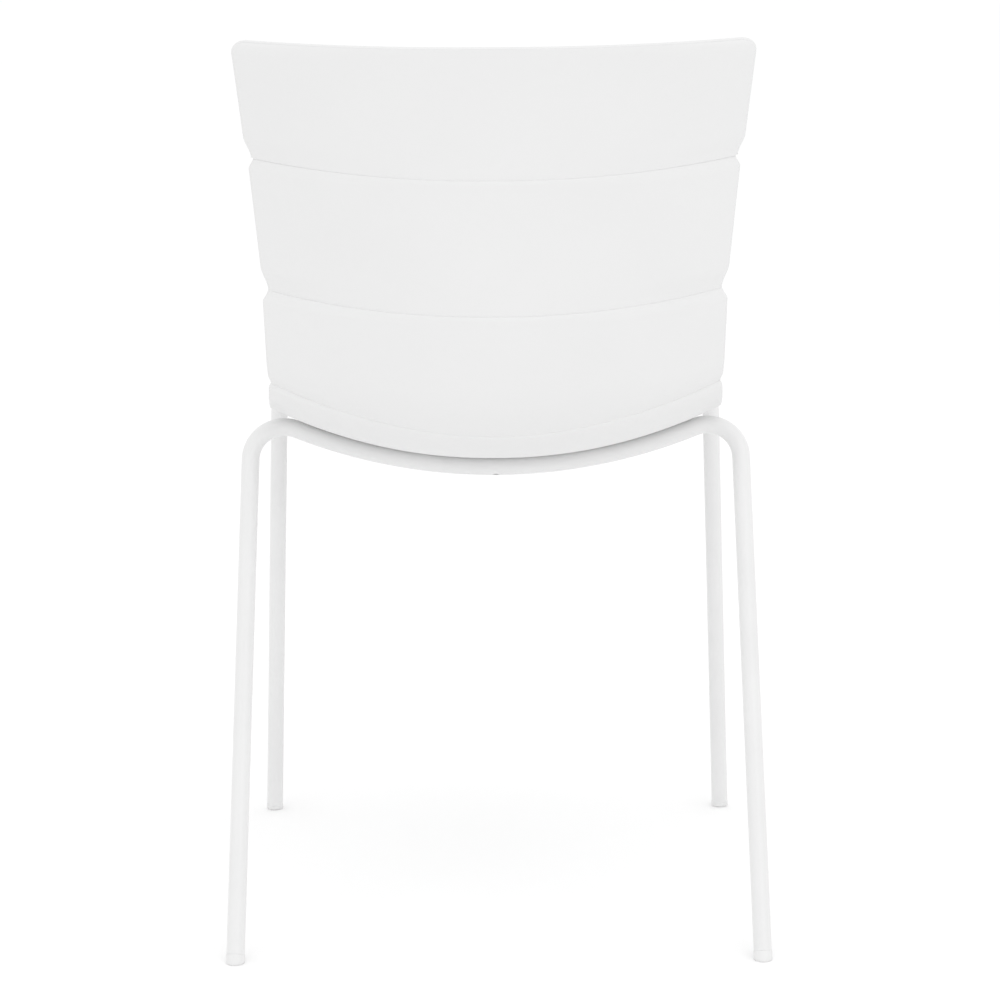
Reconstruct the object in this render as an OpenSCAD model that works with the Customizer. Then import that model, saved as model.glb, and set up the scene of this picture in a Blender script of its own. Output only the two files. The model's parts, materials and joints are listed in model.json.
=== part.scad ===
// Stacking chair: a one-piece moulded seat and back shell, banded like shingles, on a frame
// of two bent steel tube hoops. The sitter faces -Y. Origin on the floor, under the middle.

/* [Seat shell] */
// Thickness of the moulded wall
wall = 5; // [4.5:0.5:6]
// Height of the middle of the back's top edge above the floor
back_top_z = 791.8; // [785:0.1:800]
// How far the back's top edge lies behind the rear feet
back_overhang = 55.5; // [40:1:70]
// Lean of the back at its top edge, from upright
top_lean = 18; // [14:0.5:20]
// Distance along the shell from one band's lip to the next
band_pitch = 119; // [112:1:122]
// Distance along the shell from the top edge to the first lip
top_band = 114.3; // [105:0.1:120]
// How far each lip stands out from the band above it
lip_step = 1.4; // [1:0.1:4]
// How far the lips under the seat stand out
seat_lip_step = 1.2; // [0.8:0.1:3]
// Length over which a lip rounds over to its full height
lip_round = 4; // [2:0.5:8]
// Radius of the two top corners
top_corner_r = 12; // [8:1:20]
// Radius of the two front corners of the seat
front_corner_r = 48; // [30:1:60]

/* [Tube hoops] */
// Outer diameter of the frame tube
tube_d = 16; // [15:0.5:18]
// Wall thickness of the frame tube
tube_wall = 1.5; // [1:0.1:2]
// Radius of the corner bends, to the tube's centre line
bend_r = 30; // [24:1:40]
// Half the distance between the rear feet
rear_foot_x = 230; // [224:1:240]
// Half the distance between the front feet
front_foot_x = 225.5; // [222:0.5:232]
// Front to back distance between the feet
foot_depth = 467; // [460:1:475]
// Lean of the rear hoop towards the front
rear_tilt = 21.5; // [20:0.5:23]
// Lean of the front hoop towards the back
front_tilt = 8.5; // [7:0.5:10]
// Outward splay of the rear legs
rear_splay = 1.3; // [1:0.1:1.8]
// Outward splay of the front legs
front_splay = 2.2; // [1.8:0.1:2.6]
// Diameter of the drain hole under the middle of the rear crossbar
drain_d = 5.5; // [4:0.5:8]

/* [Seat bearers] */
// Distance of each bearer from the middle of the chair
bearer_x = 85; // [70:1:95]
// Width of the flat steel bearers
bearer_w = 25; // [20:1:30]
// Thickness of the flat steel bearers
bearer_t = 5; // [4:0.5:6]

/* [Fixings] */
// Thread diameter of the shell screws
screw_d = 6; // [5:1:6]
// Diameter of the screw heads
head_d = 11; // [10:0.5:12]
// Height of the screw heads
head_h = 3.6; // [3:0.1:5]
// Diameter of the bosses under the shell
boss_d = 15; // [13:0.5:16]
// Length of the threaded inserts in the bosses
insert_l = 6; // [5:0.5:6.5]

/* [Foot glides] */
// Diameter of the glide's foot
glide_d = 16.5; // [16:0.5:20]
// Height of the tube's cut end above the floor, at its lowest point
glide_gap = 4; // [3:0.5:8]
// Depth of the glide's plug inside the tube
plug_l = 22; // [15:1:30]

/* [Hidden] */
// Distance of the rear feet from the origin, towards the back of the chair
rear_foot_y = 226.4;

// The shell's side outline from the top edge to the seat's front edge, as arcs: [length, turn]
profile_arcs = [[233.3, -8], [65, 5], [100, 58], [70, 12], [140, 11], [132, 1], [76, -42]];
// Half widths at the top and at the bottom of each band, from the top of the back to the front
band_widths = [[217.5, 209], [207, 199], [199, 197], [196.5, 201], [202, 203], [203, 204], [204, 205]];
// How deep the shell is dished across its width: [distance along the shell, depth]
dish_keys = [
    [0, 45], [113, 55], [232, 62], [351, 58], [400, 51],
    [450, 45.6], [500, 46.5], [600, 45], [705, 34], [814, 22]
];
// How much of that depth gathers at the sides: 2 is a parabola, more is flatter in the middle
power_keys = [[232, 2.15], [300, 1.9], [351, 1.9], [400, 2.15]];
// How far the ends of each line across the shell lie past its middle: [distance along, shift]
bow_keys = [[0, 9.5], [113, -2], [232, -5.5], [351, 0]];
// Depth of the notch below each band at the shell's sides, and where along the shell the
// lower corner of one band starts and ends, and the upper corner of the next, from the lip
notch_depths = [4.4, 4.4, 1.6, 1.6, 1.6, 1.6];
lower_corner = [21, 1];
upper_corner = [0, 9.5];
// Columns across the shell, and the places of the mesh rows along each band
columns = 28;
lip_rows = [0, 1.2, 3, 6, 10];
middle_rows = [0.3, 0.52, 0.72];
corner_rows = [21, 16, 11, 6, 0.8];
// How much of the wall's thickness the shell's edges are rounded by, on each face
edge_round = 1.3;

shell_length = sum([for (arc = profile_arcs) arc[0]]);
last_band = len(band_widths) - 1;

tube_r = tube_d / 2;
bore_r = tube_r - tube_wall;
// Crossbar of each hoop: [height of its centre line, radius of its downward sweep]
rear_bar = [408.7, 476];
front_bar = [423.9, 740];

// Bearer ends as [distance in front of the rear feet, height], on the bearer's centre line
bearer_back = [163.3, 413];
bearer_front = [402.6, 425];
bearer_lean = atan2(bearer_front[1] - bearer_back[1], bearer_front[0] - bearer_back[0]);
bearer_len = norm(bearer_front - bearer_back);
// Distances along the shell at which the bosses stand
boss_stations = [540, 668];
boss_bore_d = 8;
washer_d = 13;
washer_t = 1.2;
hole_gap = 0.5;
sides = [-1, 1];
// Each hoop is drawn as straight and bent lengths that stop this far short of each other
length_gap = 0.02;
fine = 64;

function sum(list, i = 0) = i == len(list) ? 0 : list[i] + sum(list, i + 1);
// Rises from 0 to 1 as a quarter circle while v goes from 0 to 1
function quarter(v) = v >= 1 ? 1 : sqrt(1 - pow(1 - max(v, 0), 2));

// Rises smoothly from 0 to 1 as v goes from a to b
function ease(a, b, v) = let (u = max(0, min(1, (v - a) / (b - a)))) u * u * (3 - 2 * u);

// ---- the shell's surface ----

// Step along an arc of the side outline that starts at a heading, measured from straight down
function arc_step(length, heading, turn) =
    let (chord = abs(turn) < 0.01 ? length : length * 360 / PI / turn * sin(turn / 2))
    chord * [sin(heading + turn / 2), -cos(heading + turn / 2)];

// Side outline at a distance from the top edge: [in front of the rear feet, height, heading]
function outline(s, i = 0, at = [-back_overhang, back_top_z], heading = top_lean) =
    let (
        arc = profile_arcs[i],
        part = min(s, arc[0]),
        turn = arc[1] * part / arc[0],
        end = at + arc_step(part, heading, turn)
    )
    s <= arc[0] || i == len(profile_arcs) - 1
        ? [end[0], end[1], heading + turn]
        : outline(s - arc[0], i + 1, end, heading + turn);

function band_at(s) = s < top_band ? 0 : min(last_band, 1 + floor((s - top_band) / band_pitch));
function band_start(i) = i == 0 ? 0 : top_band + (i - 1) * band_pitch;
function band_end(i) = i == last_band ? shell_length : top_band + i * band_pitch;

function half_width(s) =
    let (
        i = band_at(s),
        along = s - band_start(i),
        left = band_end(i) - s,
        share = along / (band_end(i) - band_start(i)),
        top = i == 0
            ? top_corner_r * (1 - quarter(along / top_corner_r))
            : notch_depths[i - 1] * (1 - ease(upper_corner[0], upper_corner[1], along)),
        low = i == last_band
            ? front_corner_r * (1 - quarter(left / front_corner_r))
            : notch_depths[i] * (1 - ease(lower_corner[1], lower_corner[0], left))
    )
    band_widths[i][0] * (1 - share) + band_widths[i][1] * share - top - low;

// How far a band stands out behind the side outline
function relief(s) =
    let (
        i = band_at(s),
        share = (s - band_start(i)) / (band_end(i) - band_start(i)),
        step = i == 0 ? 0 : i < 3 ? lip_step : seat_lip_step
    )
    step * (1 - share) * quarter((s - band_start(i)) / lip_round);

// A point of the wall: along the shell, across it (-1 to 1), and in from its outer face
function wall_point(s, across, depth) =
    let (
        half = half_width(s),
        dish = lookup(s, dish_keys),
        power = lookup(s, power_keys),
        slope = sign(across) * atan(dish * power * pow(abs(across), power - 1) / half),
        p = outline(s + lookup(s, bow_keys) * pow(across, 2)),
        out = depth - relief(s),
        inward = dish * pow(abs(across), power) + out * cos(slope)
    )
    [
        across * half - out * sin(slope),
        rear_foot_y - p[0] - inward * cos(p[2]),
        p[1] + inward * sin(p[2])
    ];

function band_rows(i) =
    let (start = band_start(i), end = band_end(i))
    concat(
        [for (d = lip_rows) start + d],
        [for (share = middle_rows) start + share * (end - start)],
        [for (d = corner_rows) end - d]
    );

module seat_shell_wall() {
    rows = concat([for (i = [0 : last_band]) each band_rows(i)], [shell_length - 0.05]);
    row_count = len(rows);
    per_face = row_count * (columns + 1);
    function edge(r, c) = r == 0 || r == row_count - 1 || c == 0 || c == columns;
    function at(r, c) = r * (columns + 1) + c;
    points = [
        for (face = [0, 1]) for (r = [0 : row_count - 1]) for (c = [0 : columns])
        let (inset = edge(r, c) ? edge_round : 0)
        wall_point(rows[r], -cos(180 * c / columns), face == 0 ? inset : wall - inset)
    ];
    outer_faces = [
        for (r = [0 : row_count - 2]) for (c = [0 : columns - 1])
        each [[at(r, c), at(r, c + 1), at(r + 1, c)], [at(r, c + 1), at(r + 1, c + 1), at(r + 1, c)]]
    ];
    inner_faces = [for (f = outer_faces) [for (k = [2, 1, 0]) f[k] + per_face]];
    rim = concat(
        [for (c = [0 : columns]) at(0, c)],
        [for (r = [1 : row_count - 1]) at(r, columns)],
        [for (c = [columns - 1 : -1 : 0]) at(row_count - 1, c)],
        [for (r = [row_count - 2 : -1 : 1]) at(r, 0)]
    );
    rim_faces = [
        for (k = [0 : len(rim) - 1])
        let (a = rim[k], b = rim[(k + 1) % len(rim)])
        each [[b, a, a + per_face], [b, a + per_face, b + per_face]]
    ];
    polyhedron(points, concat(outer_faces, inner_faces, rim_faces));
}

// ---- the fixings that join the shell to the bearers ----

// A boss at a distance along the shell, on one side: the top of the wall above it
function boss_top(s, side) = wall_point(s, side * bearer_x / half_width(s), wall / 2);
// Distance from the bearer's centre line up to that point, square to the bearer
function boss_reach(s) =
    let (p = boss_top(s, 1), back = [rear_foot_y - p[1], p[2]] - bearer_back)
    back[1] * cos(bearer_lean) - back[0] * sin(bearer_lean);
// Distance from the bearer's back end to the boss, along the bearer
function boss_along(s) =
    let (p = boss_top(s, 1), back = [rear_foot_y - p[1], p[2]] - bearer_back)
    back[0] * cos(bearer_lean) + back[1] * sin(bearer_lean);

// Puts children on a bearer: x across, y forwards along it from its back end, z up from its middle
module on_bearer(side) {
    translate([side * bearer_x, rear_foot_y - bearer_back[0], bearer_back[1]])
        rotate([-bearer_lean, 0, 0]) mirror([0, 1, 0]) children();
}

module at_boss(s, side) {
    on_bearer(side) translate([0, boss_along(s), 0]) children();
}

module seat_shell() {
    color([0.93, 0.93, 0.93])
    difference() {
        union() {
            seat_shell_wall();
            for (side = sides) for (s = boss_stations)
                at_boss(s, side) translate([0, 0, bearer_t / 2])
                    cylinder(d = boss_d, h = boss_reach(s) - bearer_t / 2, $fn = fine);
        }
        for (side = sides) for (s = boss_stations)
            at_boss(s, side) translate([0, 0, bearer_t / 2 - 1])
                cylinder(d = boss_bore_d, h = insert_l + 1, $fn = fine);
    }
}

module insert(s, side) {
    color([0.78, 0.65, 0.36])
    at_boss(s, side) translate([0, 0, bearer_t / 2])
        difference() {
            cylinder(d = boss_bore_d, h = insert_l, $fn = fine);
            translate([0, 0, -1]) cylinder(d = screw_d, h = insert_l + 2, $fn = fine);
        }
}

module washer(s, side) {
    color([0.75, 0.76, 0.77])
    at_boss(s, side) translate([0, 0, -bearer_t / 2 - washer_t])
        difference() {
            cylinder(d = washer_d, h = washer_t, $fn = fine);
            translate([0, 0, -1]) cylinder(d = screw_d + hole_gap, h = washer_t + 2, $fn = fine);
        }
}

module screw(s, side) {
    under_head = -bearer_t / 2 - washer_t;
    socket_d = screw_d * 0.7;
    socket_h = head_h * 0.6;
    color([0.75, 0.76, 0.77])
    at_boss(s, side) difference() {
        union() {
            translate([0, 0, under_head - head_h])
                cylinder(d1 = head_d * 0.8, d2 = head_d, h = head_h, $fn = fine);
            translate([0, 0, under_head - 0.01])
                cylinder(d = screw_d, h = insert_l - 1 - under_head + bearer_t / 2, $fn = fine);
        }
        translate([0, 0, under_head - head_h - 1]) cylinder(d = socket_d, h = socket_h + 1, $fn = 6);
    }
}

module bearer(side) {
    color([0.9, 0.9, 0.9])
    difference() {
        on_bearer(side) translate([-bearer_w / 2, 0, -bearer_t / 2])
            cube([bearer_w, bearer_len, bearer_t]);
        crossbar_space(rear_hoop_shape);
        crossbar_space(front_hoop_shape);
        for (s = boss_stations)
            at_boss(s, side) translate([0, 0, -bearer_t])
                cylinder(d = screw_d + hole_gap, h = 2 * bearer_t, $fn = fine);
    }
}

// ---- the tube hoops ----
// Each hoop lies in one leaning plane. In that plane x is across and y is up the plane.

// [foot x, foot distance in front of the rear feet, forward lean, outward splay, crossbar]
rear_hoop_shape = [rear_foot_x, 0, rear_tilt, rear_splay, rear_bar];
front_hoop_shape = [front_foot_x, foot_depth, -front_tilt, front_splay, front_bar];

// Centre of the crossbar's sweep, up the plane
function sweep_y(hoop) = hoop[4][0] / cos(hoop[2]) + hoop[4][1];
// Angle from the crossbar's middle to where the corner bends begin
function sweep_angle(hoop) =
    let (splay = hoop[3], reach = hoop[0] * cos(splay) - sweep_y(hoop) * sin(splay) - bend_r)
    splay + asin(reach / (hoop[4][1] + bend_r));
function bend_centre(hoop) =
    let (angle = sweep_angle(hoop), radius = hoop[4][1] + bend_r)
    [radius * sin(angle), sweep_y(hoop) - radius * cos(angle)];
// Where a leg's straight stretch begins under its bend
function leg_top(hoop) = bend_centre(hoop) + bend_r * [cos(hoop[3]), sin(hoop[3])];
// Angle of a leg from upright
function leg_lean(hoop) = acos(cos(hoop[2]) * cos(hoop[3]));
// Distance from the floor to the tube's cut end, along the leg
function cut_height(hoop) = (glide_gap + tube_r * sin(leg_lean(hoop))) / cos(leg_lean(hoop));

module in_plane(hoop) {
    translate([0, rear_foot_y - hoop[1], 0]) rotate([90 + hoop[2], 0, 0]) children();
}

// Puts children at a foot: x across, z up the leg's centre line from the floor
module at_leg(hoop, side) {
    in_plane(hoop) mirror([side < 0 ? 1 : 0, 0, 0])
        translate([hoop[0], 0, 0]) rotate([-90, 0, hoop[3]]) children();
}

module tube_ring() {
    difference() {
        circle(r = tube_r, $fn = fine);
        circle(r = bore_r, $fn = fine);
    }
}

module crossbar(hoop) {
    angle = sweep_angle(hoop) - length_gap / hoop[4][1] * 180 / PI;
    translate([0, sweep_y(hoop), 0]) rotate([0, 0, -90 - angle])
        rotate_extrude(angle = 2 * angle, $fn = fine * 4) translate([hoop[4][1], 0]) children();
}

module drained_crossbar(hoop) {
    difference() {
        crossbar(hoop) tube_ring();
        translate([0, sweep_y(hoop) - hoop[4][1], 0]) rotate([90, 0, 0])
            cylinder(d = drain_d, h = tube_d, $fn = fine);
    }
}

module hoop(hoop, drained) {
    centre = bend_centre(hoop);
    top = leg_top(hoop);
    leg_l = top[1] / cos(hoop[3]) - cut_height(hoop) - length_gap;
    bend = 90 + sweep_angle(hoop) - hoop[3];
    color([0.92, 0.92, 0.92])
    in_plane(hoop) {
        if (drained) drained_crossbar(hoop);
        else crossbar(hoop) tube_ring();
        for (side = sides) {
            bend_start = side > 0 ? hoop[3] : 90 - sweep_angle(hoop);
            translate([side * centre[0], centre[1], 0]) rotate([0, 0, bend_start])
                rotate_extrude(angle = bend, $fn = fine * 2) translate([bend_r, 0]) tube_ring();
            translate([side * top[0], top[1], 0]) rotate([90, 0, side * hoop[3]])
                translate([0, 0, length_gap]) linear_extrude(leg_l) tube_ring();
        }
    }
}

// The solid space that a crossbar fills, which the bearers' ends are shaped around
module crossbar_space(hoop) {
    in_plane(hoop) crossbar(hoop) circle(r = tube_r, $fn = fine);
}

module glide(hoop, side) {
    cut = cut_height(hoop);
    color([0.97, 0.97, 0.97])
    intersection() {
        at_leg(hoop, side) union() {
            translate([0, 0, -glide_d]) cylinder(d = glide_d, h = cut + glide_d, $fn = fine);
            cylinder(r = bore_r, h = cut + plug_l, $fn = fine);
        }
        translate([-foot_depth, -foot_depth, 0]) cube([2 * foot_depth, 2 * foot_depth, foot_depth]);
    }
}

seat_shell();
hoop(rear_hoop_shape, true);  // rear_hoop
hoop(front_hoop_shape, false);  // front_hoop
bearer(-1);  // bearer_left
bearer(1);  // bearer_right
screw(boss_stations[0], -1);  // screw_rear_left
screw(boss_stations[0], 1);  // screw_rear_right
screw(boss_stations[1], -1);  // screw_front_left
screw(boss_stations[1], 1);  // screw_front_right
washer(boss_stations[0], -1);  // washer_rear_left
washer(boss_stations[0], 1);  // washer_rear_right
washer(boss_stations[1], -1);  // washer_front_left
washer(boss_stations[1], 1);  // washer_front_right
insert(boss_stations[0], -1);  // insert_rear_left
insert(boss_stations[0], 1);  // insert_rear_right
insert(boss_stations[1], -1);  // insert_front_left
insert(boss_stations[1], 1);  // insert_front_right
glide(rear_hoop_shape, -1);  // glide_rear_left
glide(rear_hoop_shape, 1);  // glide_rear_right
glide(front_hoop_shape, -1);  // glide_front_left
glide(front_hoop_shape, 1);  // glide_front_right
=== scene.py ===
import json
import math

import bmesh
import bpy
import numpy as np
from mathutils import Matrix, Vector


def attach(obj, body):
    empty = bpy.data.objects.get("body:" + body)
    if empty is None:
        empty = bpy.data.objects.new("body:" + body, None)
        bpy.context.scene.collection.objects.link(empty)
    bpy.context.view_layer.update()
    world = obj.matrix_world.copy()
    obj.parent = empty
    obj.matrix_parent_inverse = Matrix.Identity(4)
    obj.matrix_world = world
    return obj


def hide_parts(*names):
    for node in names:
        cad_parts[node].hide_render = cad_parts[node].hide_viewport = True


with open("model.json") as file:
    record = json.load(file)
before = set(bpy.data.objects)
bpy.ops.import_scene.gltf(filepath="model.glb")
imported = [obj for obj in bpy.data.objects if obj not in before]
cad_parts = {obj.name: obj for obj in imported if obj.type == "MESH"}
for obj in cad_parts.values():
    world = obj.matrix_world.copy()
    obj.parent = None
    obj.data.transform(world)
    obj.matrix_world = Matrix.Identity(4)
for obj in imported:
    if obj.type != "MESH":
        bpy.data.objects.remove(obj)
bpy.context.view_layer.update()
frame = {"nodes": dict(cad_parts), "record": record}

mm = 0.001
feet = {mount["name"]: Vector(mount["pos_m"]) for mount in frame["record"]["mounts"]}
rearFootY = feet["foot_rear_left"].y
sides = {"left": -1, "right": 1}
print("frame loaded,", len(frame["nodes"]), "CAD nodes")


class Value:
    # A socket that can be used in sums: each sum adds a Math node
    def __init__(self, tree, socket):
        self.tree = tree
        self.socket = socket

    def sum(self, operation, first, second):
        node = self.tree.nodes.new("ShaderNodeMath")
        node.operation = operation
        for slot, term in zip(node.inputs, (first, second)):
            if isinstance(term, Value):
                self.tree.links.new(term.socket, slot)
            else:
                slot.default_value = term
        return Value(self.tree, node.outputs[0])

    def __add__(self, other):
        return self.sum("ADD", self, other)

    def __radd__(self, other):
        return self.sum("ADD", other, self)

    def __sub__(self, other):
        return self.sum("SUBTRACT", self, other)

    def __rsub__(self, other):
        return self.sum("SUBTRACT", other, self)

    def __mul__(self, other):
        return self.sum("MULTIPLY", self, other)

    def __rmul__(self, other):
        return self.sum("MULTIPLY", other, self)


class Finish:
    # A material with one Principled shader, and a single way to add any other node
    def __init__(self, name, **constants):
        self.material = bpy.data.materials.new(name)
        self.material.use_nodes = True
        self.tree = self.material.node_tree
        self.shader = self.tree.nodes["Principled BSDF"]
        for socketName, value in constants.items():
            self.shader.inputs[socketName.replace("_", " ")].default_value = value
        self.place = self.add("ShaderNodeTexCoord", output="Object")

    def connect(self, value, slot):
        if isinstance(value, Value):
            self.tree.links.new(value.socket, slot)
        else:
            slot.default_value = value

    def add(self, kind, settings=None, inputs=None, output=0):
        node = self.tree.nodes.new(kind)
        for key, value in (settings or {}).items():
            if key == "stops":
                ramp = node.color_ramp.elements
                for element, (position, grey) in zip(ramp, value):
                    element.position = position
                    element.color = (grey, grey, grey, 1)
            else:
                setattr(node, key, value)
        for key, value in (inputs or {}).items():
            self.connect(value, node.inputs[key])
        return Value(self.tree, node.outputs[output])

    def noise(self, size, detail=2.0, roughness=0.5, stretch=(1, 1, 1)):
        place = self.add("ShaderNodeMapping", inputs={"Vector": self.place, "Scale": stretch})
        return self.add(
            "ShaderNodeTexNoise",
            inputs={"Vector": place, "Scale": 1 / size, "Detail": detail, "Roughness": roughness},
        )

    def mix(self, amount, first, second):
        return self.add(
            "ShaderNodeMix", {"data_type": "RGBA"}, {0: amount, 6: first, 7: second}, output=2
        )

    def ramp(self, value, low, high):
        return self.add("ShaderNodeValToRGB", {"stops": [(low, 0), (high, 1)]}, {"Fac": value})

    def bump(self, height, depth, under=None):
        inputs = {"Height": height, "Strength": 1.0, "Distance": depth}
        if under is not None:
            inputs["Normal"] = under
        return self.add("ShaderNodeBump", inputs=inputs)

    def set(self, **sockets):
        for socketName, value in sockets.items():
            self.connect(value, self.shader.inputs[socketName.replace("_", " ")])
        return self.material


def grey(level, warmth=0.0):
    return (level + warmth, level, level - warmth, 1)


def mouldedShellPlastic():
    # Satin polypropylene: an even white with faint flow clouds, under a fine spark-eroded grain
    look = {
        "tone": 0.748, "cloud": 0.736, "cloudSize": 0.16,
        "dustSize": 0.004, "grainSize": 0.0009, "grainDepth": 0.00003,
    }
    finish = Finish("shell_plastic", Specular_IOR_Level=0.45)
    clouds = finish.noise(look["cloudSize"], detail=3)
    dust = finish.noise(look["dustSize"], detail=4, roughness=0.6)
    grain = finish.noise(look["grainSize"], detail=1)
    pits = finish.noise(look["grainSize"] * 3, detail=2)
    colour = finish.mix(finish.ramp(clouds, 0.35, 0.7), grey(look["tone"]), grey(look["cloud"]))
    colour = finish.mix(0.25 * finish.ramp(dust, 0.58, 0.72), colour, grey(look["cloud"] - 0.02))
    return finish.set(
        Base_Color=colour,
        Roughness=0.40 + 0.10 * clouds + 0.05 * dust,
        Normal=finish.bump(grain + 0.5 * pits, look["grainDepth"]),
    )


def powderCoat():
    # White powder coat: semi-gloss with the slight orange peel that baked powder has
    look = {"tone": 0.755, "thin": 0.74, "filmSize": 0.05, "peelSize": 0.0022, "peelDepth": 0.00005}
    finish = Finish("frame_paint", Coat_Roughness=0.25)
    peel = finish.noise(look["peelSize"], detail=1.5)
    film = finish.noise(look["filmSize"], detail=3)
    colour = finish.mix(finish.ramp(film, 0.4, 0.7), grey(look["tone"]), grey(look["thin"]))
    return finish.set(
        Base_Color=colour,
        Roughness=0.30 + 0.08 * film,
        Coat_Weight=0.18 + 0.08 * film,
        Normal=finish.bump(peel, look["peelDepth"]),
    )


def zincPlate():
    # Bright zinc: fine turning lines and slightly cloudy passivation
    look = {"cloudSize": 0.003, "lineSize": 0.0006, "lineDepth": 0.00001}
    finish = Finish("zinc_steel", Metallic=1.0)
    cloud = finish.noise(look["cloudSize"], detail=4)
    lines = finish.noise(look["lineSize"], detail=2, stretch=(1, 1, 8))
    colour = finish.mix(cloud, (0.62, 0.64, 0.66, 1), (0.74, 0.73, 0.69, 1))
    return finish.set(
        Base_Color=colour,
        Roughness=0.22 + 0.2 * cloud,
        Normal=finish.bump(lines, look["lineDepth"]),
    )


def turnedBrass():
    look = {"cloudSize": 0.002}
    finish = Finish("insert_brass", Metallic=1.0)
    cloud = finish.noise(look["cloudSize"], detail=3)
    colour = finish.mix(cloud, (0.72, 0.53, 0.24, 1), (0.80, 0.62, 0.32, 1))
    return finish.set(Base_Color=colour, Roughness=0.25 + 0.15 * cloud)


def glidePlastic():
    # Natural white polyethylene, scuffed a little towards the sole
    look = {
        "tone": 0.765, "scuff": 0.69, "scuffHeight": 0.003,
        "scratchSize": 0.0012, "scratchDepth": 0.00002,
    }
    finish = Finish("glide_plastic", Specular_IOR_Level=0.4)
    height = finish.add("ShaderNodeSeparateXYZ", inputs={"Vector": finish.place}, output="Z")
    scratches = finish.noise(look["scratchSize"], detail=4, roughness=0.7)
    nearFloor = finish.add(
        "ShaderNodeMapRange",
        inputs={
            "Value": height, "From Min": 0.0, "From Max": look["scuffHeight"],
            "To Min": 1.0, "To Max": 0.0,
        },
    )
    worn = nearFloor * finish.ramp(scratches, 0.45, 0.65)
    return finish.set(
        Base_Color=finish.mix(worn, grey(look["tone"]), grey(look["scuff"], 0.01)),
        Roughness=0.38 + 0.25 * worn,
        Normal=finish.bump(scratches, look["scratchDepth"]),
    )


materials = {
    "shell_plastic": mouldedShellPlastic(),
    "frame_paint": powderCoat(),
    "zinc_steel": zincPlate(),
    "insert_brass": turnedBrass(),
    "glide_plastic": glidePlastic(),
}
print("materials ready:", ", ".join(materials))


def pieceFromMesh(name, mesh, slot, replaced):
    piece = bpy.data.objects.new(name, mesh)
    bpy.context.scene.collection.objects.link(piece)
    if not mesh.materials:
        mesh.materials.append(materials[slot])
    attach(piece, "root")
    if replaced:
        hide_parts(*replaced)
    return piece


def plainMesh(piece):
    # The evaluated piece as one plain mesh, with its modifiers worked in
    evaluated = piece.evaluated_get(bpy.context.evaluated_depsgraph_get())
    mesh = bpy.data.meshes.new_from_object(evaluated)
    piece.modifiers.clear()
    bpy.data.objects.remove(piece)
    return mesh


# Sizes in millimetres. Along the shell runs from the back's top edge down, under and forward.
shell = {
    "wall": 5.0,
    "topHeight": 791.8,
    "topBehindFeet": 55.5,
    "topLean": 18.0,
    "arcs": [(233.3, -8), (65, 5), (100, 58), (70, 12), (140, 11), (132, 1), (76, -42)],
    "firstLip": 114.3,
    "bandPitch": 119.0,
    "widths": [
        (217.5, 209), (207, 199), (199, 197), (196.5, 201), (202, 203), (203, 204), (204, 205),
    ],
    "backLip": 1.4,
    "seatLip": 1.2,
    "lipRound": 4.0,
    "notches": [4.4, 4.4, 1.6, 1.6, 1.6, 1.6],
    "lowerCorner": (21.0, 1.0),
    "upperCorner": (0.0, 9.5),
    "topCorner": 12.0,
    "frontCorner": 48.0,
    "dish": [
        (0, 45), (113, 55), (232, 62), (351, 58), (400, 51),
        (450, 45.6), (500, 46.5), (600, 45), (705, 34), (814, 22),
    ],
    "dishPower": [(232, 2.15), (300, 1.9), (351, 1.9), (400, 2.15)],
    "bow": [(0, 9.5), (113, -2), (232, -5.5), (351, 0)],
    # Mesh rows, as distances from where a band starts or to where it ends
    "topRows": [1, 2, 3, 4.5, 6, 8, 10, 12.5],
    "lipRows": [0.3, 0.8, 1.4, 2.1, 3, 4, 5, 6, 7, 8, 9, 10.5, 12.5],
    "cornerRows": [22, 20, 18, 16, 14, 12, 10, 8, 6, 4, 2, 0.8],
    "frontRows": [48, 44, 40, 36, 32, 28, 24, 20, 16, 12, 9, 6, 4, 2, 0.8],
    "rowStep": 6.0,
    "columns": 112,
    "edgeColumn": 3.0 / 200,
    "rimDepth": 1.4,
    "rimSteps": 5,
}
shell["length"] = sum(length for length, turn in shell["arcs"])


def keyed(keys, at):
    return float(np.interp(at, [key[0] for key in keys], [key[1] for key in keys]))


def quarterRound(share):
    return 1.0 if share >= 1 else math.sqrt(1 - (1 - max(share, 0.0)) ** 2)


def ease(low, high, value):
    share = min(1.0, max(0.0, (value - low) / (high - low)))
    return share * share * (3 - 2 * share)


def sideOutline(along):
    # Side view of the shell's outer face: forward of the rear feet, height, and heading, which is
    # measured from straight down
    heading = shell["topLean"]
    forward, height = -shell["topBehindFeet"], shell["topHeight"]
    for index, (length, turn) in enumerate(shell["arcs"]):
        last = index == len(shell["arcs"]) - 1
        part = along if last else min(along, length)
        bend = turn * part / length
        middle = math.radians(heading + bend / 2)
        half = math.radians(bend) / 2
        chord = part * math.sin(half) / half if half else part
        forward += chord * math.sin(middle)
        height -= chord * math.cos(middle)
        heading += bend
        along -= part
        if along <= 0:
            break
    return forward, height, math.radians(heading)


def bandAt(along):
    last = len(shell["widths"]) - 1
    pastFirst = along - shell["firstLip"]
    number = 0 if pastFirst < 0 else min(1 + int(pastFirst // shell["bandPitch"]), last)
    start = 0.0 if number == 0 else shell["firstLip"] + (number - 1) * shell["bandPitch"]
    end = shell["length"] if number == last else shell["firstLip"] + number * shell["bandPitch"]
    return number, start, end


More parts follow.
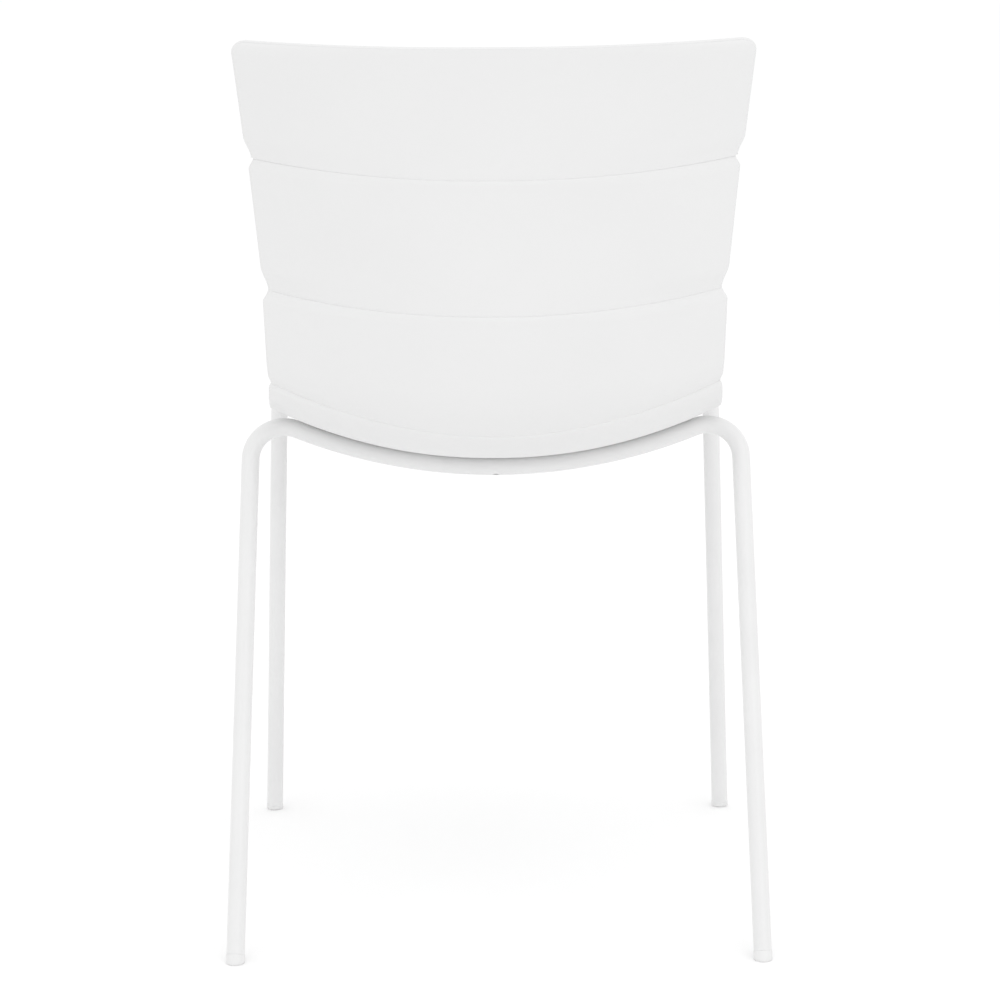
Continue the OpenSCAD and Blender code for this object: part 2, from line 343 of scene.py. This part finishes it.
def halfWidth(along, band):
    number, start, end = band
    share = (along - start) / (end - start)
    top, low = shell["widths"][number]
    fromLip, toLip = along - start, end - along
    if number == 0:
        upper = shell["topCorner"] * (1 - quarterRound(fromLip / shell["topCorner"]))
    else:
        upper = shell["notches"][number - 1] * (1 - ease(*shell["upperCorner"], fromLip))
    if number == len(shell["widths"]) - 1:
        lower = shell["frontCorner"] * (1 - quarterRound(toLip / shell["frontCorner"]))
    else:
        lower = shell["notches"][number] * (1 - ease(*reversed(shell["lowerCorner"]), toLip))
    return top + (low - top) * share - upper - lower


def relief(along, band):
    number, start, end = band
    lip = 0.0 if number == 0 else shell["backLip"] if number < 3 else shell["seatLip"]
    past = along - start
    return lip * (1 - past / (end - start)) * quarterRound(past / shell["lipRound"])


def wallPoint(along, across, depth, band=None):
    band = band or bandAt(along)
    half = halfWidth(along, band)
    dish = keyed(shell["dish"], along)
    power = keyed(shell["dishPower"], along)
    slope = math.copysign(math.atan(dish * power * abs(across) ** (power - 1) / half), across)
    forward, height, heading = sideOutline(along + keyed(shell["bow"], along) * across ** 2)
    out = depth - relief(along, band)
    inward = dish * abs(across) ** power + out * math.cos(slope)
    return Vector((
        (across * half - out * math.sin(slope)) * mm,
        rearFootY - (forward + inward * math.cos(heading)) * mm,
        (height + inward * math.sin(heading)) * mm,
    ))


def shellRows():
    # Rows along the shell, close together where a lip rounds over and where a side corner turns
    rows = []
    for number in range(len(shell["widths"])):
        start = 0.0 if number == 0 else shell["firstLip"] + (number - 1) * shell["bandPitch"]
        band = bandAt(start + 0.001)
        end = band[2]
        near = shell["topRows"] if number == 0 else shell["lipRows"]
        far = shell["frontRows"] if end == shell["length"] else shell["cornerRows"]
        count = max(2, round((end - start - near[-1] - far[0]) / shell["rowStep"]))
        middle = np.linspace(start + near[-1], end - far[0], count + 1)[1:-1]
        places = [start] + [start + d for d in near] + list(middle) + [end - d for d in far]
        rows += [(place, band) for place in places]
        rows.append((end, band))
    return rows


def addFaces(mesh, grid, flip=False):
    for upper, lower in zip(grid, grid[1:]):
        for a, b, c, d in zip(upper, upper[1:], lower[1:], lower):
            corners = [a, b, c, d] if not flip else [d, c, b, a]
            mesh.faces.new(corners)


def addLathe(mesh, outline, place, steps=48):
    # Turns a closed outline of (radius, height) about a place's own Z
    rings = []
    for radius, height in outline:
        ring = []
        for step in range(steps):
            angle = 2 * math.pi * step / steps
            point = Vector((radius * math.cos(angle), radius * math.sin(angle), height))
            ring.append(mesh.verts.new(place @ point))
        rings.append(ring + ring[:1])
    addFaces(mesh, rings + rings[:1])


def makeShellMesh():
    mesh = bmesh.new()
    rows = shellRows()
    edge = 1 - shell["edgeColumn"]
    across = [-1.0] + list(np.linspace(-edge, edge, shell["columns"] - 1)) + [1.0]
    faces = []
    for depth in (0.0, shell["wall"]):
        grid = [[wallPoint(along, x, depth, band) for x in across] for along, band in rows]
        faces.append(grid)
    outer, inner = faces
    last = (len(rows) - 1, len(across) - 1)
    loop = [(0, c) for c in range(last[1])] + [(r, last[1]) for r in range(last[0])]
    loop += [(last[0], c) for c in range(last[1], 0, -1)] + [(r, 0) for r in range(last[0], 0, -1)]
    # The rim is a half round from the outer face to the inner one
    rimDepth = shell["rimDepth"] * mm
    rim = []
    for place, (r, c) in enumerate(loop):
        before, after = loop[place - 1], loop[(place + 1) % len(loop)]
        tangent = outer[after[0]][after[1]] - outer[before[0]][before[1]]
        through = inner[r][c] - outer[r][c]
        outward = tangent.cross(through).normalized()
        inside = min(max(r, 2), last[0] - 2), min(max(c, 2), last[1] - 2)
        towardMiddle = outer[inside[0]][inside[1]] - outer[r][c]
        if outward.dot(towardMiddle) > 0:
            outward.negate()
        arc = []
        for step in range(shell["rimSteps"] + 1):
            angle = math.pi * (step / shell["rimSteps"] - 0.5)
            middle = outer[r][c] + through * (0.5 + 0.5 * math.sin(angle))
            arc.append(mesh.verts.new(middle - outward * rimDepth * (1 - math.cos(angle))))
        rim.append(arc)
    onRim = {cell: arc for cell, arc in zip(loop, rim)}
    for side, grid in enumerate(faces):
        verts = []
        for r, line in enumerate(grid):
            verts.append([
                onRim[r, c][-side] if (r, c) in onRim else mesh.verts.new(point)
                for c, point in enumerate(line)
            ])
        addFaces(mesh, verts, flip=side == 1)
    addFaces(mesh, rim + rim[:1])
    return mesh


bearers = {
    "spread": 85.0, "width": 25.0, "thick": 5.0,
    "back": (163.3, 413.0), "front": (402.6, 425.0),
}
bosses = {"stations": (540.0, 668.0), "radius": 7.5, "bore": 4.0, "fillet": 2.5}


def bearerPlace(side):
    # X across, Y forward along the bearer from its back end, Z square to it
    (back, low), (front, high) = bearers["back"], bearers["front"]
    lean = math.atan2(high - low, front - back)
    start = Vector((side * bearers["spread"] * mm, rearFootY - back * mm, low * mm))
    turned = Matrix((
        (-1, 0, 0),
        (0, -math.cos(lean), math.sin(lean)),
        (0, math.sin(lean), math.cos(lean)),
    ))
    return Matrix.Translation(start) @ turned.to_4x4()


def addBosses(mesh):
    for side in sides.values():
        place = bearerPlace(side)
        for station in bosses["stations"]:
            band = bandAt(station)
            across = side * bearers["spread"] / halfWidth(station, band)
            top = wallPoint(station, across, shell["wall"] / 2)
            local = place.inverted() @ top
            foot = bearers["thick"] / 2 * mm
            r, bore, fillet = (bosses[key] * mm for key in ("radius", "bore", "fillet"))
            wallAt = local.z - shell["wall"] / 2 * mm
            flare = [
                (r + fillet * (1 - math.cos(turn)), wallAt - fillet + fillet * math.sin(turn))
                for turn in np.linspace(0, math.pi / 2 * 0.9, 5)
            ]
            outline = [(bore, foot), (r - 0.4 * mm, foot), (r, foot + 0.4 * mm)] + flare
            outline += [(r + fillet, local.z), (bore, local.z)]
            addLathe(mesh, outline, place @ Matrix.Translation((0, local.y, 0)))


def finishedMesh(mesh, name, slot):
    bmesh.ops.recalc_face_normals(mesh, faces=mesh.faces)
    data = bpy.data.meshes.new(name)
    mesh.to_mesh(data)
    mesh.free()
    data.materials.append(materials[slot])
    data.shade_smooth()
    return data


shellMesh = makeShellMesh()
addBosses(shellMesh)
shellData = finishedMesh(shellMesh, "seatShell", "shell_plastic")
shellData.set_sharp_from_angle(angle=math.radians(50))
seatShell = pieceFromMesh("seatShell", shellData, "shell_plastic", ["seat_shell"])
print("shell:", len(shellData.polygons), "faces")


tube = {
    "diameter": 16.0, "wall": 1.5, "bend": 30.0, "drain": 5.5,
    "sides": 56, "bendSteps": 26, "sweepSteps": 90,
}
hoops = {
    "rear": {
        "foot": "foot_rear_right", "tilt": 21.5, "splay": 1.3, "barHeight": 408.7, "sweep": 476.0,
    },
    "front": {
        "foot": "foot_front_right", "tilt": -8.5, "splay": 2.2, "barHeight": 423.9, "sweep": 740.0,
    },
}
glides = {"diameter": 16.5, "gap": 4.0, "plug": 22.0, "soleRound": 1.2, "collarRound": 0.5}


def hoopPlace(hoop):
    # The hoop's own plane: X across, Y up the plane, Z out of it
    tilt = math.radians(hoop["tilt"])
    foot = feet[hoop["foot"]]
    return Matrix.Translation((0, foot.y, 0)) @ Matrix.Rotation(math.pi / 2 + tilt, 4, "X")


def hoopOutline(hoop):
    # Where the crossbar's sweep and the right-hand bend have their centres, and where the leg
    # starts and ends
    splay = math.radians(hoop["splay"])
    footX = feet[hoop["foot"]].x / mm
    sweepY = hoop["barHeight"] / math.cos(math.radians(hoop["tilt"])) + hoop["sweep"]
    radius = hoop["sweep"] + tube["bend"]
    reach = footX * math.cos(splay) - sweepY * math.sin(splay) - tube["bend"]
    sweepAngle = splay + math.asin(reach / radius)
    bend = Vector((radius * math.sin(sweepAngle), sweepY - radius * math.cos(sweepAngle)))
    legTop = bend + tube["bend"] * Vector((math.cos(splay), math.sin(splay)))
    lean = math.acos(math.cos(math.radians(hoop["tilt"])) * math.cos(splay))
    cut = (glides["gap"] + tube["diameter"] / 2 * math.sin(lean)) / math.cos(lean)
    legEnd = Vector((footX - cut * math.sin(splay), cut * math.cos(splay)))
    return {"splay": splay, "sweepY": sweepY, "angle": sweepAngle, "bend": bend, "legTop": legTop,
            "legEnd": legEnd, "cut": cut}


def hoopRoute(hoop):
    # Centre line of the tube in its plane, from the right foot over to the left one
    shape = hoopOutline(hoop)
    half = [shape["legEnd"], shape["legEnd"].lerp(shape["legTop"], 0.5), shape["legTop"]]
    for turn in np.linspace(shape["splay"], math.pi / 2 + shape["angle"], tube["bendSteps"])[1:]:
        half.append(shape["bend"] + tube["bend"] * Vector((math.cos(turn), math.sin(turn))))
    bar = []
    for turn in np.linspace(shape["angle"], -shape["angle"], tube["sweepSteps"])[1:-1]:
        across, down = hoop["sweep"] * math.sin(turn), hoop["sweep"] * math.cos(turn)
        bar.append(Vector((across, shape["sweepY"] - down)))
    mirrored = [Vector((-point.x, point.y)) for point in reversed(half)]
    return [Vector((point.x * mm, point.y * mm, 0)) for point in half + bar + mirrored]


def pathObject(name, points, cyclic=False):
    curve = bpy.data.curves.new(name, "CURVE")
    curve.dimensions = "3D"
    spline = curve.splines.new("POLY")
    spline.points.add(len(points) - 1)
    for target, point in zip(spline.points, points):
        target.co = (*point, 1)
    spline.use_cyclic_u = cyclic
    path = bpy.data.objects.new(name, curve)
    bpy.context.scene.collection.objects.link(path)
    return path


def treeWithInputs(name, sockets):
    tree = bpy.data.node_groups.new(name, "GeometryNodeTree")
    tree.interface.new_socket("Geometry", in_out="INPUT", socket_type="NodeSocketGeometry")
    for label, (kind, value) in sockets.items():
        socket = tree.interface.new_socket(label, in_out="INPUT", socket_type=kind)
        if value is not None:
            socket.default_value = value
    tree.interface.new_socket("Geometry", in_out="OUTPUT", socket_type="NodeSocketGeometry")
    return tree, tree.nodes.new("NodeGroupInput"), tree.nodes.new("NodeGroupOutput")


def addNode(tree, kind, settings=None, inputs=None):
    node = tree.nodes.new(kind)
    for key, value in (settings or {}).items():
        setattr(node, key, value)
    for key, value in (inputs or {}).items():
        if isinstance(value, bpy.types.NodeSocket):
            tree.links.new(value, node.inputs[key])
        else:
            node.inputs[key].default_value = value
    return node


def useTree(piece, tree, values):
    modifier = piece.modifiers.new(tree.name, "NODES")
    modifier.node_group = tree
    for item in tree.interface.items_tree:
        if item.in_out == "INPUT" and item.name in values:
            modifier[item.identifier] = values[item.name]
    return piece


def bentTubeTree():
    # Sweeps a round section along the tube's centre line
    tree, given, result = treeWithInputs("Bent tube", {
        "Outer radius": ("NodeSocketFloat", 0.008),
        "Section sides": ("NodeSocketInt", 48),
        "Finish": ("NodeSocketMaterial", None),
    })
    section = addNode(tree, "GeometryNodeCurvePrimitiveCircle", inputs={
        "Resolution": given.outputs["Section sides"], "Radius": given.outputs["Outer radius"]})
    swept = addNode(tree, "GeometryNodeCurveToMesh", inputs={
        "Curve": given.outputs["Geometry"], "Profile Curve": section.outputs["Curve"]})
    real = addNode(tree, "GeometryNodeRealizeInstances", inputs={"Geometry": swept.outputs["Mesh"]})
    coated = addNode(tree, "GeometryNodeSetMaterial", inputs={
        "Geometry": real.outputs["Geometry"], "Material": given.outputs["Finish"]})
    tree.links.new(coated.outputs["Geometry"], result.inputs["Geometry"])
    return tree


def weldBeadTree():
    # A rippled bead of weld along the line where two pieces meet
    tree, given, result = treeWithInputs("Weld bead", {
        "Bead radius": ("NodeSocketFloat", 0.0014),
        "Ripple pitch": ("NodeSocketFloat", 0.0016),
        "Ripple depth": ("NodeSocketFloat", 0.25),
        "Seed": ("NodeSocketInt", 4),
        "Finish": ("NodeSocketMaterial", None),
    })
    points = addNode(tree, "GeometryNodeResampleCurve", {"mode": "LENGTH"}, {
        "Curve": given.outputs["Geometry"], "Length": 0.0004})
    along = addNode(tree, "GeometryNodeSplineParameter")
    ripples = addNode(tree, "ShaderNodeMath", {"operation": "DIVIDE"}, {
        0: along.outputs["Length"], 1: given.outputs["Ripple pitch"]})
    phase = addNode(tree, "ShaderNodeMath", {"operation": "MULTIPLY"}, {
        0: ripples.outputs[0], 1: 2 * math.pi})
    wave = addNode(tree, "ShaderNodeMath", {"operation": "SINE"}, {0: phase.outputs[0]})
    uneven = addNode(tree, "FunctionNodeRandomValue", {"data_type": "FLOAT"}, {
        "Min": 0.92, "Max": 1.06, "Seed": given.outputs["Seed"]})
    swell = addNode(tree, "ShaderNodeMath", {"operation": "MULTIPLY_ADD"}, {
        0: wave.outputs[0], 1: given.outputs["Ripple depth"], 2: uneven.outputs["Value"]})
    radius = addNode(tree, "ShaderNodeMath", {"operation": "MULTIPLY"}, {
        0: swell.outputs[0], 1: given.outputs["Bead radius"]})
    section = addNode(tree, "GeometryNodeCurvePrimitiveCircle", inputs={
        "Resolution": 10, "Radius": 1.0})
    swept = addNode(tree, "GeometryNodeCurveToMesh", inputs={
        "Curve": points.outputs["Curve"], "Profile Curve": section.outputs["Curve"],
        "Scale": radius.outputs[0]})
    smooth = addNode(tree, "GeometryNodeSetShadeSmooth", inputs={"Geometry": swept.outputs["Mesh"]})
    real = addNode(tree, "GeometryNodeRealizeInstances", inputs={
        "Geometry": smooth.outputs["Geometry"]})
    coated = addNode(tree, "GeometryNodeSetMaterial", inputs={
        "Geometry": real.outputs["Geometry"], "Material": given.outputs["Finish"]})
    tree.links.new(coated.outputs["Geometry"], result.inputs["Geometry"])
    return tree


def drillMesh(place, radius, depth):
    mesh = bmesh.new()
    bmesh.ops.create_cone(
        mesh, cap_ends=True, segments=40, radius1=radius, radius2=radius, depth=depth, matrix=place)
    data = bpy.data.meshes.new("drill")
    mesh.to_mesh(data)
    mesh.free()
    drill = bpy.data.objects.new("drill", data)
    bpy.context.scene.collection.objects.link(drill)
    return drill


def makeHoop(name, hoop, node, drained):
    route = [hoopPlace(hoop) @ point for point in hoopRoute(hoop)]
    path = useTree(pathObject(name, route), bentTubeTree(), {
        "Outer radius": tube["diameter"] / 2 * mm,
        "Section sides": tube["sides"],
        "Finish": materials["frame_paint"],
    })
    wall = bpy.data.objects.new(name, plainMesh(path))
    bpy.context.scene.collection.objects.link(wall)
    hollow = wall.modifiers.new("Hollow", "SOLIDIFY")
    hollow.thickness = tube["wall"] * mm
    hollow.offset = -1
    hollow.use_even_offset = True
    if drained:
        shape = hoopOutline(hoop)
        under = Vector((0, (shape["sweepY"] - hoop["sweep"] - tube["diameter"] / 2) * mm, 0))
        place = hoopPlace(hoop) @ Matrix.Translation(under) @ Matrix.Rotation(math.pi / 2, 4, "X")
        drill = drillMesh(place, tube["drain"] / 2 * mm, tube["diameter"] * 0.8 * mm)
        hole = wall.modifiers.new("Drain", "BOOLEAN")
        hole.object = drill
        hole.operation = "DIFFERENCE"
    data = plainMesh(wall)
    if drained:
        bpy.data.objects.remove(drill)
    data.name = name
    data.shade_smooth()
    data.set_sharp_from_angle(angle=math.radians(40))
    return pieceFromMesh(name, data, "frame_paint", [node])


rearHoop = makeHoop("rearHoop", hoops["rear"], "rear_hoop", True)
frontHoop = makeHoop("frontHoop", hoops["front"], "front_hoop", False)
print("hoops:", len(rearHoop.data.polygons) + len(frontHoop.data.polygons), "faces")


def outsideTube(hoop, point):
    # Distance from a point to a crossbar's surface, in metres
    shape = hoopOutline(hoop)
    local = hoopPlace(hoop).inverted() @ point
    inPlane = math.hypot(local.x, local.y - shape["sweepY"] * mm) - hoop["sweep"] * mm
    return math.hypot(inPlane, local.z) - tube["diameter"] / 2 * mm


weld = {"radius": 1.4, "stepsAcross": 26, "stepsThrough": 5, "halvings": 24}


def weldLine(side, hoop, fromBack):
    # Round the bearer's section, at the distance along it where it meets the tube
    place = bearerPlace(side)
    length = math.dist(bearers["front"], bearers["back"]) * mm
    halfWide, halfThick = bearers["width"] / 2 * mm, bearers["thick"] / 2 * mm
    corners = [(x * halfWide, z * halfThick) for x, z in ((-1, -1), (1, -1), (1, 1), (-1, 1))]
    line = []
    for (x0, z0), (x1, z1) in zip(corners, corners[1:] + corners[:1]):
        steps = weld["stepsAcross"] if x0 != x1 else weld["stepsThrough"]
        for step in range(steps):
            x, z = x0 + (x1 - x0) * step / steps, z0 + (z1 - z0) * step / steps
            near, far = (0.0, length / 2) if fromBack else (length, length / 2)
            for halving in range(weld["halvings"]):
                middle = (near + far) / 2
                inside = outsideTube(hoop, place @ Vector((x, middle, z))) < 0
                near, far = (middle, far) if inside else (near, middle)
            line.append(place @ Vector((x, near, z)))
    return line


weldTree = weldBeadTree()
beads = bmesh.new()
for side in sides.values():
    for hoop, fromBack in ((hoops["rear"], True), (hoops["front"], False)):
        path = useTree(pathObject("bead", weldLine(side, hoop, fromBack), cyclic=True), weldTree, {
            "Bead radius": weld["radius"] * mm,
            "Finish": materials["frame_paint"],
        })
        bead = plainMesh(path)
        beads.from_mesh(bead)
        bpy.data.meshes.remove(bead)
beadData = finishedMesh(beads, "weldBeads", "frame_paint")
weldBeads = pieceFromMesh("weldBeads", beadData, "frame_paint", [])
print("weld beads:", len(weldBeads.data.polygons), "faces")


def makeGlide(name, hoop, side, node):
    shape = hoopOutline(hoop)
    cut = shape["cut"] * mm
    foot = Vector((side * feet[hoop["foot"]].x, 0, 0))
    place = hoopPlace(hoop) @ Matrix.Translation(foot)
    place = place @ Matrix.Rotation(side * shape["splay"], 4, "Z") @ Matrix.Rotation(-math.pi / 2, 4, "X")
    radius, bore = glides["diameter"] / 2 * mm, (tube["diameter"] / 2 - tube["wall"]) * mm
    edge, plug = glides["collarRound"] * mm, glides["plug"] * mm
    onAxis, merge = 0.0001 * mm, 0.001 * mm
    outline = [(onAxis, -radius), (radius, -radius), (radius, cut - edge)]
    outline += [
        (radius - edge * (1 - math.cos(turn)), cut - edge * (1 - math.sin(turn)))
        for turn in np.linspace(0, math.pi / 2, 4)[1:]
    ]
    outline += [(bore, cut), (bore, cut + plug - 2 * edge), (bore - 2 * edge, cut + plug)]
    outline.append((onAxis, cut + plug))
    mesh = bmesh.new()
    addLathe(mesh, outline, place, steps=56)
    bmesh.ops.remove_doubles(mesh, verts=mesh.verts, dist=merge)
    whole = mesh.verts[:] + mesh.edges[:] + mesh.faces[:]
    bmesh.ops.bisect_plane(
        mesh, geom=whole, plane_co=(0, 0, 0), plane_no=(0, 0, 1), clear_inner=True)
    bmesh.ops.holes_fill(mesh, edges=[line for line in mesh.edges if line.is_boundary])
    sole = [line for line in mesh.edges if all(abs(vert.co.z) < merge for vert in line.verts)]
    bmesh.ops.bevel(
        mesh, geom=sole, offset=glides["soleRound"] * mm, segments=4, profile=0.5, affect="EDGES")
    data = finishedMesh(mesh, name, "glide_plastic")
    data.set_sharp_from_angle(angle=math.radians(50))
    return pieceFromMesh(name, data, "glide_plastic", [node])


for end, hoop in hoops.items():
    for sideName, side in sides.items():
        makeGlide(end + sideName.capitalize() + "Glide", hoop, side, f"glide_{end}_{sideName}")
print("glides made")


slotOf = {part["node"]: part["material_slot"] for part in frame["record"]["subparts"]}
for name, carried in frame["nodes"].items():
    for place in range(len(carried.data.materials)):
        carried.data.materials[place] = materials[slotOf[name]]
print("materials given to the CAD nodes")


studio = {
    "floorSize": 80.0,
    "floorTone": 0.97,
    "skyStrength": 1.045,
    "overhead": {"power": 15.0, "size": (4.0, 4.0), "place": (-0.6, 1.2, 3.6)},
    "rightOfCamera": {"power": 11.0, "size": (2.5, 2.5), "place": (-1.8, 4.2, 1.9)},
    "leftStrip": {"power": 3.5, "size": (0.9, 2.6), "place": (2.3, 3.0, 1.9)},
}


def softLight(name, settings):
    light = bpy.data.lights.new(name, "AREA")
    light.energy = settings["power"]
    light.shape = "RECTANGLE"
    light.size, light.size_y = settings["size"]
    lamp = bpy.data.objects.new(name, light)
    lamp.location = settings["place"]
    aim = Vector((0, 0, 0.4)) - Vector(settings["place"])
    lamp.rotation_euler = aim.to_track_quat("-Z", "Y").to_euler()
    bpy.context.scene.collection.objects.link(lamp)


def makeStudio():
    half = studio["floorSize"] / 2
    mesh = bmesh.new()
    around = ((-1, -1), (1, -1), (1, 1), (-1, 1))
    mesh.faces.new([mesh.verts.new((x * half, y * half, 0)) for x, y in around])
    data = bpy.data.meshes.new("floor")
    mesh.to_mesh(data)
    mesh.free()
    finish = Finish("floorPaper", Specular_IOR_Level=0.0)
    fibre = finish.noise(0.4, detail=2)
    tone = studio["floorTone"]
    data.materials.append(finish.set(
        Base_Color=finish.mix(fibre, grey(tone), grey(tone - 0.01)), Roughness=0.9 + 0.05 * fibre))
    floor = bpy.data.objects.new("floor", data)
    bpy.context.scene.collection.objects.link(floor)
    world = bpy.data.worlds.new("studio")
    world.use_nodes = True
    background = world.node_tree.nodes["Background"]
    background.inputs["Color"].default_value = (1, 1, 1, 1)
    background.inputs["Strength"].default_value = studio["skyStrength"]
    bpy.context.scene.world = world
    for name in ("overhead", "rightOfCamera", "leftStrip"):
        softLight(name, studio[name])


makeStudio()
view = bpy.context.scene.view_settings
view.view_transform = "Standard"
view.look = "None"

# Metres and degrees: behind the chair, a little above its back, looking slightly down
camera = {"lens": 115.2, "behindRearFeet": 2.6575, "aside": 0.0059, "height": 0.9363,
          "down": 11.21, "turned": 0.19, "rolled": 0.33}


def placeCamera():
    data = bpy.data.cameras.new("camera")
    data.lens = camera["lens"]
    data.sensor_width = 36
    data.clip_end = 200
    thing = bpy.data.objects.new("camera", data)
    down, turned, rolled = (math.radians(camera[key]) for key in ("down", "turned", "rolled"))
    turn = Matrix.Rotation(math.pi - turned, 4, "Z") @ Matrix.Rotation(math.pi / 2 - down, 4, "X")
    away = rearFootY + camera["behindRearFeet"]
    place = Matrix.Translation((camera["aside"], away, camera["height"]))
    thing.matrix_world = place @ turn @ Matrix.Rotation(-rolled, 4, "Z")
    bpy.context.scene.collection.objects.link(thing)
    bpy.context.scene.camera = thing


placeCamera()
print("studio and camera ready")
